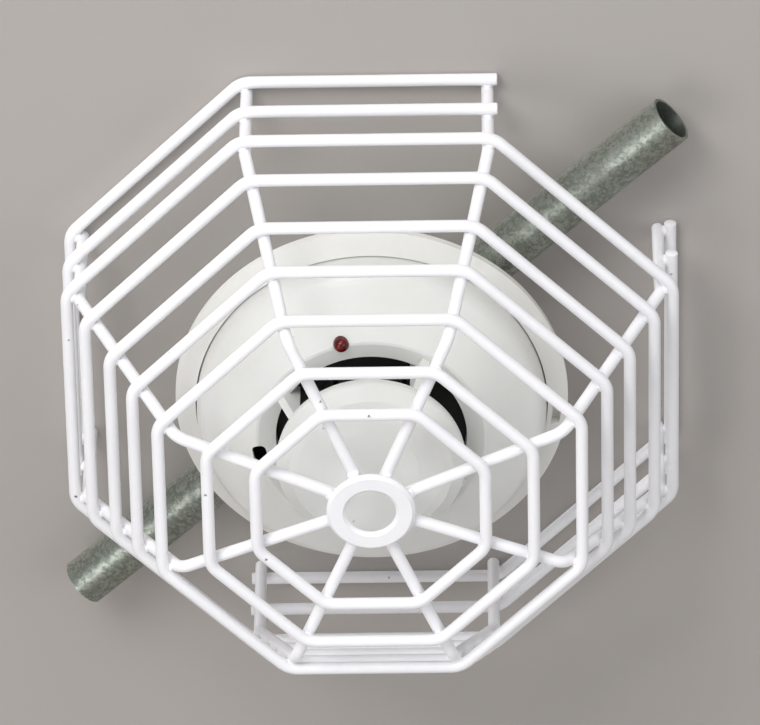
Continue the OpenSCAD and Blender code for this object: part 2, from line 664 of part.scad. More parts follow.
module alarm_lamp() color("darkred") place_on_wall() at_turn(lamp_turn, lamp_at) {
  translate([0, 0, lamp_low]) cylinder(d = lamp_d, h = lamp_tip - lamp_low - lamp_d / 2);
  translate([0, 0, lamp_tip - lamp_d / 2]) sphere(d = lamp_d - slim);
}

module lamp_leads() color("silver") place_on_wall() at_turn(lamp_turn, lamp_at) for (side = [-1, 1])
  translate([side * lamp_lead_gap, 0, board_top]) cylinder(r = lamp_lead_r, h = lamp_low - board_top);

module controller_chip() color("black") place_on_wall() translate([-42, -6, board_top])
  cube([10, 12, 2.2]);

module capacitor() color("midnightblue") place_on_wall() at_turn(200, 42) translate([0, 0, board_top])
  cylinder(r = 4, h = 8);

module resistors() color("tan") place_on_wall() for (k = [0:5]) at_turn(330, 34 + 3 * (k % 3))
  translate([0, 5 * floor(k / 3) - 6, board_top + 0.9]) rotate([-90, 0, 0]) cylinder(r = 0.9, h = 3.6);

module reed_switch() color("lightblue") place_on_wall() at_turn(60, 36) translate([-7, -1.2, board_top])
  cube([14, 2.4, 2.4]);

for (k = [1:8]) rib(k);
cut_hoop(2, hoop_1_z);  // hoop_1_upper
cut_hoop(6, hoop_1_z);  // hoop_1_lower
cut_hoop(2, hoop_2_z);  // hoop_2_upper
cut_hoop(6, hoop_2_z);  // hoop_2_lower
whole_hoop(guard_flat, hoop_3_z);  // hoop_3
whole_hoop(slant_flat(hoop_4_z), hoop_4_z);  // hoop_4
whole_hoop(slant_flat(hoop_5_z), hoop_5_z);  // hoop_5
whole_hoop(slant_flat(hoop_6_z), hoop_6_z);  // hoop_6
whole_hoop(slant_flat(hoop_7_z), hoop_7_z);  // hoop_7
whole_hoop(front_outer_flat, ring_z(front_outer_flat));  // front_ring_outer
whole_hoop(front_inner_flat, ring_z(front_inner_flat));  // front_ring_inner
centre_ring();
back_box();
ground_screw();
conduit(0);  // conduit_upper
conduit(180);  // conduit_lower
connector(0);  // connector_upper
connector(180);  // connector_lower
locknut(0);  // locknut_upper
locknut(180);  // locknut_lower
connector_set_screws();
base_ring();
terminal_clips();
clamp_plates();
terminal_screws();
base_screws();
head_back();
head_cover();
sensor_cap();
air_baffle();
circuit_board();
contact_blades();
case_screws();
board_screws();
thermistor_bead();
thermistor_leads();
thermistor_holder();
alarm_lamp();
lamp_leads();
controller_chip();
capacitor();
resistors();
reed_switch();
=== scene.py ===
"""Looks for the guarded heat detector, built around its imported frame."""

import logging
import math
import random
from dataclasses import dataclass, field
from enum import Enum
from typing import Callable, Iterable, Sequence

import bmesh
import bpy
from mathutils import Matrix, Vector


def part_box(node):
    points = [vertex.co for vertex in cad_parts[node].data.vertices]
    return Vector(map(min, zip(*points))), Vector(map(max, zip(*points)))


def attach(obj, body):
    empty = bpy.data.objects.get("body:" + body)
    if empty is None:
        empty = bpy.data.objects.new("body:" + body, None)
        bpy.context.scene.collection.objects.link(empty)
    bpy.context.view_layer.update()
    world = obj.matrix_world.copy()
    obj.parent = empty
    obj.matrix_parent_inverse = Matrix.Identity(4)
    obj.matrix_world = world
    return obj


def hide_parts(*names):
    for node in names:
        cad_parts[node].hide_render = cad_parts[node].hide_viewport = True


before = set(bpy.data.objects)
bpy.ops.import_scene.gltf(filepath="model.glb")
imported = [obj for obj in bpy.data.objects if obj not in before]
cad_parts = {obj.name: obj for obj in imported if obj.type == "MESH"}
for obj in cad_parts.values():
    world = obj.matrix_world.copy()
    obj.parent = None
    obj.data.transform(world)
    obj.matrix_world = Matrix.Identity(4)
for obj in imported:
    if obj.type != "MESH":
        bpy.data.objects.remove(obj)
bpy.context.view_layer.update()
LOG = logging.getLogger("heat_detector")
MM = 0.001
Colour = tuple[float, float, float]


# ---------------------------------------------------------------- shader hand


class Tree:
    """Adds and wires the nodes of one shader tree."""

    def __init__(self, tree: bpy.types.NodeTree) -> None:
        """Keeps the tree that nodes go into.

        Args:
            tree: The material's or group's node tree.
        """
        self.tree = tree

    def add(self, kind: str, **settings: object) -> bpy.types.Node:
        """Adds a node.

        Args:
            kind: The node's type name without its ShaderNode prefix.
            settings: Properties of the node to set.

        Returns:
            The new node.
        """
        node = self.tree.nodes.new("ShaderNode" + kind)
        for key, value in settings.items():
            setattr(node, key, value)
        return node

    def feed(self, socket: bpy.types.NodeSocket, value: object) -> None:
        """Links a socket to another, or sets its value.

        Args:
            socket: The input to fill.
            value: An output socket, a number or a colour.
        """
        if isinstance(value, bpy.types.NodeSocket):
            self.tree.links.new(value, socket)
        elif isinstance(value, tuple) and len(value) == 3 and len(socket.default_value) == 4:
            socket.default_value = (*value, 1.0)
        else:
            socket.default_value = value

    def maths(self, how: str, a: object, b: object = 0.0, clamp: bool = False) -> bpy.types.NodeSocket:
        """Returns the result of a Math node.

        Args:
            how: The operation.
            a: First input.
            b: Second input.
            clamp: Whether the result stays within 0 and 1.

        Returns:
            The node's output.
        """
        node = self.add("Math", operation=how, use_clamp=clamp)
        self.feed(node.inputs[0], a)
        self.feed(node.inputs[1], b)
        return node.outputs[0]

    def span(self, value: object, low: float, high: float, to_low: float,
             to_high: float) -> bpy.types.NodeSocket:
        """Maps one range onto another, smoothly and without leaving it.

        Args:
            value: What to map.
            low: Start of the range that comes in.
            high: End of the range that comes in.
            to_low: Start of the range that goes out.
            to_high: End of the range that goes out.

        Returns:
            The mapped value.
        """
        node = self.add("MapRange", interpolation_type="SMOOTHSTEP")
        for name, number in (("From Min", low), ("From Max", high), ("To Min", to_low), ("To Max", to_high)):
            self.feed(node.inputs[name], number)
        self.feed(node.inputs["Value"], value)
        return node.outputs["Result"]

    def mix(self, share: object, a: object, b: object, how: str = "MIX") -> bpy.types.NodeSocket:
        """Mixes two colours.

        Args:
            share: How much of the second.
            a: First colour.
            b: Second colour.
            how: The blend mode.

        Returns:
            The mixed colour.
        """
        node = self.add("Mix", data_type="RGBA", blend_type=how)
        self.feed(node.inputs["Factor"], share)
        self.feed(node.inputs[6], a)
        self.feed(node.inputs[7], b)
        return node.outputs[2]

    def place(self) -> bpy.types.NodeSocket:
        """Returns the object coordinates, in metres in the frame's own axes."""
        return self.add("TexCoord").outputs["Object"]

    def noise(self, scale: object, detail: float = 4.0, roughness: float = 0.5,
              at: object = None) -> bpy.types.NodeSocket:
        """Returns a noise value.

        Args:
            scale: Features for each metre.
            detail: Octaves.
            roughness: Strength of the finer octaves.
            at: Coordinates, or None for the object's.

        Returns:
            The noise, about 0 to 1.
        """
        node = self.add("TexNoise")
        self.feed(node.inputs["Vector"], at or self.place())
        self.feed(node.inputs["Scale"], scale)
        node.inputs["Detail"].default_value = detail
        node.inputs["Roughness"].default_value = roughness
        return node.outputs["Fac"]

    def use(self, group: bpy.types.NodeTree, **values: object) -> bpy.types.Node:
        """Places a node group.

        Args:
            group: The group.
            values: Its inputs by name, with _ for a space.

        Returns:
            The group's node.
        """
        node = self.add("Group", node_tree=group)
        for name, value in values.items():
            self.feed(node.inputs[name.replace("_", " ")], value)
        return node


class Effects:
    """Shader groups that several finishes share, each built once."""

    _built: dict[str, bpy.types.NodeTree] = {}

    @classmethod
    def _group(cls, name: str, ins: Sequence[tuple[str, str, object]], outs: Sequence[tuple[str, str]],
               wire: Callable[[Tree, bpy.types.Node, bpy.types.Node], None]) -> bpy.types.NodeTree:
        """Builds a group, or returns the one that is there.

        Args:
            name: The group's name.
            ins: Name, kind and default of each input.
            outs: Name and kind of each output.
            wire: What wires the inside.

        Returns:
            The group.
        """
        if name in cls._built:
            return cls._built[name]
        group = bpy.data.node_groups.new(name, "ShaderNodeTree")
        for label, kind, default in ins:
            socket = group.interface.new_socket(label, in_out="INPUT", socket_type="NodeSocket" + kind)
            socket.default_value = (*default, 1.0) if kind == "Color" else default
        for label, kind in outs:
            group.interface.new_socket(label, in_out="OUTPUT", socket_type="NodeSocket" + kind)
        tree = Tree(group)
        wire(tree, group.nodes.new("NodeGroupInput"), group.nodes.new("NodeGroupOutput"))
        cls._built[name] = group
        return group

    @classmethod
    def edge_wear(cls) -> bpy.types.NodeTree:
        """Returns a group whose mask is bright along sharp edges, broken up by noise."""

        def wire(t: Tree, given: bpy.types.Node, out: bpy.types.Node) -> None:
            """Compares the rounded normal with the true one.

            Args:
                t: The group's tree.
                given: The node with the group's inputs.
                out: The node with its outputs.
            """
            bevel = t.add("Bevel", samples=4)
            t.feed(bevel.inputs["Radius"], given.outputs["Reach"])
            dot = t.add("VectorMath", operation="DOT_PRODUCT")
            t.feed(dot.inputs[0], bevel.outputs["Normal"])
            t.feed(dot.inputs[1], t.add("NewGeometry").outputs["Normal"])
            turned = t.maths("SUBTRACT", 1.0, dot.outputs["Value"], clamp=True)
            edge = t.span(turned, 0.02, 0.22, 0.0, 1.0)
            patch = t.span(t.noise(given.outputs["Break Up"], 5.0, 0.65), 0.42, 0.62, 0.0, 1.0)
            mask = t.maths("MULTIPLY", edge, patch)
            t.feed(out.inputs["Mask"], t.maths("MULTIPLY", mask, given.outputs["Amount"], clamp=True))

        return cls._group("edge wear", [("Reach", "Float", 0.0006), ("Break Up", "Float", 400.0),
                                        ("Amount", "Float", 0.6)], [("Mask", "Float")], wire)

    @classmethod
    def fine_grain(cls) -> bpy.types.NodeTree:
        """Returns a group that gives the height of a moulded or sprayed skin and a roughness drift."""

        def wire(t: Tree, given: bpy.types.Node, out: bpy.types.Node) -> None:
            """Adds a fine noise to rounded cells.

            Args:
                t: The group's tree.
                given: The node with the group's inputs.
                out: The node with its outputs.
            """
            place = t.place()
            fine = t.noise(given.outputs["Scale"], 3.0, 0.55, place)
            cells = t.add("TexVoronoi", feature="SMOOTH_F1")
            t.feed(cells.inputs["Vector"], place)
            t.feed(cells.inputs["Scale"], given.outputs["Scale"])
            t.feed(out.inputs["Height"], t.maths("ADD", t.maths("MULTIPLY", fine, 0.6),
                                                  t.maths("MULTIPLY", cells.outputs["Distance"], 0.5)))
            t.feed(out.inputs["Patch"], t.noise(given.outputs["Patch Scale"], 4.0, 0.6, place))

        return cls._group("fine grain", [("Scale", "Float", 2500.0), ("Patch Scale", "Float", 60.0)],
                          [("Height", "Float"), ("Patch", "Float")], wire)

    @classmethod
    def tone_drift(cls) -> bpy.types.NodeTree:
        """Returns a group that lets one colour drift towards another over the surface."""

        def wire(t: Tree, given: bpy.types.Node, out: bpy.types.Node) -> None:
            """Mixes by two sizes of noise.

            Args:
                t: The group's tree.
                given: The node with the group's inputs.
                out: The node with its outputs.
            """
            place = t.place()
            wide = t.noise(given.outputs["Scale"], 3.0, 0.5, place)
            close = t.noise(t.maths("MULTIPLY", given.outputs["Scale"], 9.0), 5.0, 0.6, place)
            share = t.maths("ADD", t.maths("MULTIPLY", wide, 0.7), t.maths("MULTIPLY", close, 0.3))
            share = t.span(share, 0.35, 0.68, 0.0, 1.0)
            share = t.maths("MULTIPLY", share, given.outputs["Amount"], clamp=True)
            t.feed(out.inputs["Colour"], t.mix(share, given.outputs["Colour"], given.outputs["Drift"]))

        ins = [("Colour", "Color", (0.8, 0.8, 0.8)), ("Drift", "Color", (0.7, 0.7, 0.7)),
               ("Scale", "Float", 20.0), ("Amount", "Float", 0.5)]
        return cls._group("tone drift", ins, [("Colour", "Color")], wire)

    @classmethod
    def settled_dust(cls) -> bpy.types.NodeTree:
        """Returns a group whose mask is dust on what faces up."""

        def wire(t: Tree, given: bpy.types.Node, out: bpy.types.Node) -> None:
            """Takes the upward share of the normal and breaks it up.

            Args:
                t: The group's tree.
                given: The node with the group's inputs.
                out: The node with its outputs.
            """
            split = t.add("SeparateXYZ")
            t.feed(split.inputs[0], t.add("NewGeometry").outputs["Normal"])
            up = t.span(split.outputs["Z"], 0.15, 1.0, 0.0, 1.0)
            patch = t.span(t.noise(given.outputs["Scale"], 6.0, 0.7), 0.38, 0.66, 0.25, 1.0)
            mask = t.maths("MULTIPLY", up, patch)
            t.feed(out.inputs["Mask"], t.maths("MULTIPLY", mask, given.outputs["Amount"], clamp=True))

        return cls._group("settled dust", [("Scale", "Float", 220.0), ("Amount", "Float", 0.3)],
                          [("Mask", "Float")], wire)

    @classmethod
    def chips(cls) -> bpy.types.NodeTree:
        """Returns a group whose mask is a scatter of small chips and specks."""

        def wire(t: Tree, given: bpy.types.Node, out: bpy.types.Node) -> None:
            """Keeps the middles of a few cells, with ragged outlines.

            Args:
                t: The group's tree.
                given: The node with the group's inputs.
                out: The node with its outputs.
            """
            place = t.place()
            cells = t.add("TexVoronoi", feature="F1")
            t.feed(cells.inputs["Vector"], place)
            t.feed(cells.inputs["Scale"], given.outputs["Scale"])
            pick = t.add("SeparateColor")
            t.feed(pick.inputs[0], cells.outputs["Color"])
            kept = t.maths("LESS_THAN", pick.outputs[0], given.outputs["Share"])
            ragged = t.maths("MULTIPLY", t.noise(2600.0, 5.0, 0.7, place), 0.5)
            near = t.maths("ADD", cells.outputs["Distance"], ragged)
            spot = t.span(near, 0.30, 0.42, 1.0, 0.0)
            t.feed(out.inputs["Mask"], t.maths("MULTIPLY", kept, spot))

        return cls._group("chips", [("Scale", "Float", 250.0), ("Share", "Float", 0.03)],
                          [("Mask", "Float")], wire)

    @classmethod
    def zinc_spangle(cls) -> bpy.types.NodeTree:
        """Returns a group with the crystals of hot-dipped zinc: a tone and a height for each."""

        def wire(t: Tree, given: bpy.types.Node, out: bpy.types.Node) -> None:
            """Warps two sizes of cells and gives each cell a tone.

            Args:
                t: The group's tree.
                given: The node with the group's inputs.
                out: The node with its outputs.
            """
            place = t.place()
            warp = t.add("TexNoise")
            t.feed(warp.inputs["Vector"], place)
            t.feed(warp.inputs["Scale"], given.outputs["Scale"])
            shift = t.add("VectorMath", operation="SCALE")
            t.feed(shift.inputs[0], warp.outputs["Color"])
            t.feed(shift.inputs["Scale"], t.maths("DIVIDE", 0.55, given.outputs["Scale"]))
            at = t.add("VectorMath", operation="ADD")
            t.feed(at.inputs[0], place)
            t.feed(at.inputs[1], shift.outputs[0])
            tones = []
            for size in (1.0, 2.7):
                cells = t.add("TexVoronoi", feature="F1")
                t.feed(cells.inputs["Vector"], at.outputs[0])
                t.feed(cells.inputs["Scale"], t.maths("MULTIPLY", given.outputs["Scale"], size))
                grey = t.add("SeparateColor")
                t.feed(grey.inputs[0], cells.outputs["Color"])
                tones.append(grey.outputs[0])
            tone = t.maths("ADD", t.maths("MULTIPLY", tones[0], 0.62), t.maths("MULTIPLY", tones[1], 0.38))
            t.feed(out.inputs["Tone"], tone)
            t.feed(out.inputs["Height"], t.maths("MULTIPLY", tone, t.noise(3000.0, 2.0, 0.5, place)))

        return cls._group("zinc spangle", [("Scale", "Float", 300.0)],
                          [("Tone", "Float"), ("Height", "Float")], wire)


# ------------------------------------------------------------------- finishes


@dataclass(frozen=True)
class Finish:
    """What every finish has: its name and a way to make its material."""

    name: str

    def start(self) -> tuple[bpy.types.Material, Tree, bpy.types.Node]:
        """Returns an empty material, its tree and its Principled shader, wired to the output."""
        material = bpy.data.materials.new(self.name)
        material.use_nodes = True
        tree = Tree(material.node_tree)
        material.node_tree.nodes.clear()
        shader = tree.add("BsdfPrincipled")
        out = tree.add("OutputMaterial")
        tree.feed(out.inputs["Surface"], shader.outputs["BSDF"])
        return material, tree, shader

    def bump(self, t: Tree, shader: bpy.types.Node, height: object, strength: float, reach: float) -> None:
        """Feeds a height into the shader's normal.

        Args:
            t: The material's tree.
            shader: The Principled shader.
            height: The height's socket.
            strength: The Bump node's strength.
            reach: The Bump node's distance, in metres.
        """
        node = t.add("Bump")
        node.inputs["Strength"].default_value = strength
        node.inputs["Distance"].default_value = reach
        t.feed(node.inputs["Height"], height)
        t.feed(shader.inputs["Normal"], node.outputs["Normal"])

    def build(self) -> bpy.types.Material:
        """Returns the finished material."""
        raise NotImplementedError


@dataclass(frozen=True)
class Moulding(Finish):
    """Moulded or sprayed skin: powder coat, detector plastic, connector plastic."""

    colour: Colour
    drift: Colour
    rough: float = 0.45
    grain: float = 2600.0
    depth: float = 0.00003
    strength: float = 0.25
    drift_scale: float = 18.0
    drift_amount: float = 0.6
    wear: Colour = (0.6, 0.6, 0.6)
    wear_amount: float = 0.25
    wear_reach: float = 0.0005
    dust: float = 0.22
    dust_colour: Colour = (0.46, 0.43, 0.38)
    coat: float = 0.0
    coat_rough: float = 0.25
    glow: float = 0.0
    chip_share: float = 0.0
    chip_scale: float = 240.0
    chip_colour: Colour = (0.10, 0.095, 0.085)
    ior: float = 1.47
    rough_under: float = 0.07
    rough_over: float = 0.08
    dust_rough: float = 0.35
    glow_radius: Colour = (0.0012, 0.0010, 0.0007)

    def build(self) -> bpy.types.Material:
        """Returns the material: drifted colour, worn edges, dust, and grain in bump and roughness."""
        material, t, shader = self.start()
        colour = t.use(Effects.tone_drift(), Colour=self.colour, Drift=self.drift, Scale=self.drift_scale,
                       Amount=self.drift_amount).outputs["Colour"]
        worn = t.use(Effects.edge_wear(), Reach=self.wear_reach, Amount=self.wear_amount).outputs["Mask"]
        colour = t.mix(worn, colour, self.wear)
        dust = t.use(Effects.settled_dust(), Amount=self.dust).outputs["Mask"]
        colour = t.mix(dust, colour, self.dust_colour)
        if self.chip_share:
            chip = t.use(Effects.chips(), Scale=self.chip_scale, Share=self.chip_share).outputs["Mask"]
            colour = t.mix(chip, colour, self.chip_colour)
        t.feed(shader.inputs["Base Color"], colour)
        grain = t.use(Effects.fine_grain(), Scale=self.grain)
        low, high = self.rough - self.rough_under, self.rough + self.rough_over
        rough = t.span(grain.outputs["Patch"], 0.3, 0.7, low, high)
        matt = t.maths("MULTIPLY", dust, self.dust_rough)
        t.feed(shader.inputs["Roughness"], t.maths("ADD", rough, matt, clamp=True))
        self.bump(t, shader, grain.outputs["Height"], self.strength, self.depth)
        shader.inputs["IOR"].default_value = self.ior
        shader.inputs["Coat Weight"].default_value = self.coat
        shader.inputs["Coat Roughness"].default_value = self.coat_rough
        shader.inputs["Subsurface Weight"].default_value = self.glow
        shader.inputs["Subsurface Radius"].default_value = self.glow_radius
        shader.inputs["Subsurface Scale"].default_value = 1.0
        return material


@dataclass(frozen=True)
class Zinc(Finish):
    """Hot-dipped or plated zinc on steel."""

    dark: Colour
    light: Colour
    spangle: float = 300.0
    rough: float = 0.38
    spread: float = 0.16
    stain: Colour = (0.30, 0.31, 0.27)
    stain_amount: float = 0.4
    metal: float = 0.92
    relief: float = 0.3
    depth: float = 0.00006
    stain_scale: float = 55.0
    stain_rough: float = 0.35
    wear: Colour = (0.78, 0.78, 0.76)
    wear_reach: float = 0.0006
    wear_amount: float = 0.6
    dust_colour: Colour = (0.42, 0.39, 0.34)
    dust_hides: float = 0.9
    dust: float = 0.15

    def build(self) -> bpy.types.Material:
        """Returns the material: crystal tones, white rust, scuffed edges and dust."""
        material, t, shader = self.start()
        cells = t.use(Effects.zinc_spangle(), Scale=self.spangle)
        colour = t.mix(t.span(cells.outputs["Tone"], 0.15, 0.85, 0.0, 1.0), self.dark, self.light)
        stain = t.span(t.noise(self.stain_scale, 7.0, 0.68), 0.5, 0.72, 0.0, self.stain_amount)
        colour = t.mix(stain, colour, self.stain)
        worn = t.use(Effects.edge_wear(), Reach=self.wear_reach, Amount=self.wear_amount).outputs["Mask"]
        colour = t.mix(worn, colour, self.wear)
        dust = t.use(Effects.settled_dust(), Amount=self.dust).outputs["Mask"]
        t.feed(shader.inputs["Base Color"], t.mix(dust, colour, self.dust_colour))
        hidden = t.maths("MULTIPLY", dust, self.dust_hides)
        t.feed(shader.inputs["Metallic"], t.maths("SUBTRACT", self.metal, hidden, clamp=True))
        rough = t.span(cells.outputs["Tone"], 0.1, 0.9, self.rough + self.spread, self.rough - self.spread)
        rust = t.maths("MULTIPLY", stain, self.stain_rough)
        t.feed(shader.inputs["Roughness"], t.maths("ADD", rough, rust, clamp=True))
        self.bump(t, shader, cells.outputs["Height"], self.relief, self.depth)
        return material


@dataclass(frozen=True)
class Plated(Finish):
    """Machined or stamped metal: screws, springs, contacts and solder."""

    colour: Colour
    tarnish: Colour
    rough: float = 0.3
    streak: float = 900.0
    stretch: float = 0.12
    blot_scale: float = 120.0
    blot_amount: float = 0.75
    blot_rough: float = 0.2
    wear_reach: float = 0.0003
    wear_amount: float = 0.7
    wear_gain: float = 1.25
    rough_under: float = 0.08
    rough_over: float = 0.12
    relief: float = 0.15
    depth: float = 0.00002

    def build(self) -> bpy.types.Material:
        """Returns the material: fine drawn streaks, tarnish and bright edges."""
        material, t, shader = self.start()
        stretch = t.add("Mapping")
        t.feed(stretch.inputs["Vector"], t.place())
        stretch.inputs["Scale"].default_value = (1.0, self.stretch, 1.0)
        streak = t.noise(self.streak, 4.0, 0.6, stretch.outputs["Vector"])
        blot = t.span(t.noise(self.blot_scale, 6.0, 0.7), 0.45, 0.7, 0.0, self.blot_amount)
        worn = t.use(Effects.edge_wear(), Reach=self.wear_reach, Amount=self.wear_amount).outputs["Mask"]
        bright = tuple(min(1.0, c * self.wear_gain) for c in self.colour)
        colour = t.mix(worn, t.mix(blot, self.colour, self.tarnish), bright)
        t.feed(shader.inputs["Base Color"], colour)
        shader.inputs["Metallic"].default_value = 1.0
        rough = t.span(streak, 0.3, 0.7, self.rough - self.rough_under, self.rough + self.rough_over)
        dull = t.maths("MULTIPLY", blot, self.blot_rough)
        t.feed(shader.inputs["Roughness"], t.maths("ADD", rough, dull, clamp=True))
        self.bump(t, shader, streak, self.relief, self.depth)
        return material


@dataclass(frozen=True)
class Lens(Finish):
    """Tinted clear moulding of a lamp."""

    colour: Colour
    deep: Colour
    flow_scale: float = 500.0
    haze_scale: float = 1400.0
    clear: float = 0.25
    ior: float = 1.5

    def build(self) -> bpy.types.Material:
        """Returns the material: deep red clear plastic with faint flow lines."""
        material, t, shader = self.start()
        flow = t.noise(self.flow_scale, 3.0, 0.5)
        t.feed(shader.inputs["Base Color"], t.mix(t.span(flow, 0.35, 0.65, 0.0, 1.0), self.colour, self.deep))
        t.feed(shader.inputs["Roughness"], t.span(t.noise(self.haze_scale, 4.0, 0.6), 0.3, 0.7, 0.06, 0.2))
        shader.inputs["Transmission Weight"].default_value = self.clear
        shader.inputs["IOR"].default_value = self.ior
        self.bump(t, shader, flow, 0.05, 0.00002)
        return material


@dataclass(frozen=True)
class Backdrop(Finish):
    """Painted wall and floor. Seen from behind, it lets the view through."""

    colour: Colour
    drift: Colour
    grain: float = 450.0
    patch: float = 12.0
    drift_scale: float = 3.0
    drift_amount: float = 0.6
    shine: float = 0.2

    def build(self) -> bpy.types.Material:
        """Returns the material: matt paint with a faint roller texture."""
        material, t, shader = self.start()
        colour = t.use(Effects.tone_drift(), Colour=self.colour, Drift=self.drift, Scale=self.drift_scale,
                       Amount=self.drift_amount)
        t.feed(shader.inputs["Base Color"], colour.outputs["Colour"])
        grain = t.use(Effects.fine_grain(), Scale=self.grain, Patch_Scale=self.patch)
        t.feed(shader.inputs["Roughness"], t.span(grain.outputs["Patch"], 0.3, 0.7, 0.72, 0.86))
        self.bump(t, shader, grain.outputs["Height"], 0.12, 0.0002)
        shader.inputs["Specular IOR Level"].default_value = self.shine
        through = t.maths("MAXIMUM", t.add("NewGeometry").outputs["Backfacing"],
                          t.add("LightPath").outputs["Is Shadow Ray"])
        blend = t.add("MixShader")
        t.feed(blend.inputs[0], through)
        t.feed(blend.inputs[1], shader.outputs["BSDF"])
        t.feed(blend.inputs[2], t.add("BsdfTransparent").outputs[0])
        out = next(n for n in t.tree.nodes if n.type == "OUTPUT_MATERIAL")
        t.feed(out.inputs["Surface"], blend.outputs[0])
        return material


class Coat(Enum):
    """Every finish of the object, by what it is on."""

    GUARD = Moulding("guard powder coat", (0.92, 0.92, 0.945), (0.86, 0.86, 0.895), rough=0.36, grain=1500.0,
                     depth=0.00005, strength=0.22, drift_scale=30.0, wear=(0.70, 0.69, 0.68), wear_amount=0.2,
                     dust=0.06, dust_colour=(0.66, 0.64, 0.62), coat=0.2, coat_rough=0.28, chip_share=0.035)
    HEAD = Moulding("head plastic", (0.81, 0.82, 0.80), (0.78, 0.775, 0.73), rough=0.36, grain=3200.0,
                    drift_scale=14.0, wear=(0.95, 0.94, 0.90), wear_amount=0.2, dust=0.06,
                    dust_colour=(0.62, 0.58, 0.50), glow=0.06, chip_share=0.012, chip_scale=300.0,
                    chip_colour=(0.42, 0.38, 0.30))
    BASE = Moulding("base plastic", (0.80, 0.80, 0.77), (0.75, 0.74, 0.69), rough=0.42, grain=2800.0,
                    drift_scale=16.0, wear=(0.95, 0.94, 0.90), wear_amount=0.2, dust=0.12,
                    dust_colour=(0.60, 0.55, 0.46), glow=0.05)
    # Black plastic darkened well past its own colour: painted shade, so the baffle inside the opening reads
    # as the deep shadow there.
    BAFFLE = Moulding("baffle plastic with painted shade", (0.008, 0.008, 0.008), (0.012, 0.012, 0.011), rough=0.6, grain=2600.0,
                      wear=(0.03, 0.03, 0.03), wear_amount=0.3, dust=0.0)
    HOLDER = Moulding("holder plastic", (0.75, 0.75, 0.72), (0.70, 0.69, 0.64), rough=0.4, dust=0.3)
    BOX = Zinc("box zinc", (0.50, 0.51, 0.51), (0.74, 0.75, 0.75), spangle=170.0, rough=0.42, metal=0.75)
    CONDUIT = Zinc("conduit zinc", (0.21, 0.235, 0.20), (0.36, 0.385, 0.345), spangle=800.0, rough=0.40,
                   spread=0.05, stain=(0.16, 0.19, 0.15), stain_amount=0.3, metal=0.95, relief=0.1, dust=0.04)
    FITTING = Zinc("fitting zinc", (0.56, 0.57, 0.57), (0.72, 0.73, 0.73), spangle=900.0, rough=0.3,
                   spread=0.08, stain_amount=0.25)
    SCREW = Plated("screw plating", (0.68, 0.67, 0.63), (0.42, 0.39, 0.31), rough=0.28)
    EARTH = Plated("earth screw dye", (0.09, 0.34, 0.15), (0.05, 0.18, 0.09), rough=0.35)
    BRASS = Plated("contact brass", (0.72, 0.52, 0.22), (0.40, 0.26, 0.11), rough=0.3)
    LEAD = Plated("tinned lead", (0.74, 0.73, 0.71), (0.48, 0.47, 0.45), rough=0.32)
    BOARD = Moulding("board mask", (0.02, 0.14, 0.055), (0.015, 0.10, 0.04), rough=0.3, grain=4000.0,
                     coat=0.5, wear=(0.55, 0.50, 0.28), wear_amount=0.5, dust=0.1)
    CHIP = Moulding("chip plastic", (0.025, 0.025, 0.028), (0.04, 0.04, 0.04), rough=0.5,
                    grain=5000.0, dust=0.1)
    BEAD = Moulding("bead dip", (0.03, 0.03, 0.035), (0.05, 0.05, 0.05), rough=0.25, coat=0.5, dust=0.2)
    SLEEVE = Moulding("capacitor sleeve", (0.012, 0.012, 0.015), (0.02, 0.02, 0.022), rough=0.25,
                      coat=0.4, dust=0.1)
    RESISTOR = Moulding("resistor lacquer", (0.60, 0.44, 0.25), (0.50, 0.36, 0.20), rough=0.28,
                        coat=0.4, dust=0.1)
    REED = Moulding("reed body", (0.33, 0.50, 0.46), (0.28, 0.42, 0.40), rough=0.2, coat=0.6, dust=0.1)
    LAMP = Lens("lamp lens", (0.22, 0.004, 0.005), (0.07, 0.001, 0.002))
    WALL = Backdrop("wall paint", (0.42, 0.395, 0.375), (0.40, 0.375, 0.355))

    def material(self) -> bpy.types.Material:
        """Returns this finish's material, built on first use."""
        made = bpy.data.materials.get(self.value.name)
        return made or self.value.build()


# ----------------------------------------------------------------- mesh tools


def make_piece(name: str, verts: Sequence[Sequence[float]], faces: Sequence[Sequence[int]], coat: Coat,
               smooth: bool = True) -> bpy.types.Object:
    """Makes a mesh object in the frame, with its finish.

    Args:
        name: The piece's name.
        verts: Corner points, in metres.
        faces: Corner numbers of each face.
        coat: Its finish.
        smooth: Whether it is smooth shaded.

    Returns:
        The object.
    """
    mesh = bpy.data.meshes.new(name)
    mesh.from_pydata([tuple(v) for v in verts], [], [tuple(f) for f in faces])
    mesh.validate()
    mesh.polygons.foreach_set("use_smooth", [smooth] * len(mesh.polygons))
    mesh.materials.append(coat.material())
    piece = bpy.data.objects.new(name, mesh)
    bpy.context.scene.collection.objects.link(piece)
    return piece


def out_of_wall(x: float, y: float, z: float) -> Vector:
    """Turns a place given as right, up and out of the wall into the frame's axes.

    Args:
        x: To the right.
        y: Up.
        z: Out of the wall.

    Returns:
        The point in the frame.
    """
    return Vector((x, -z, y))


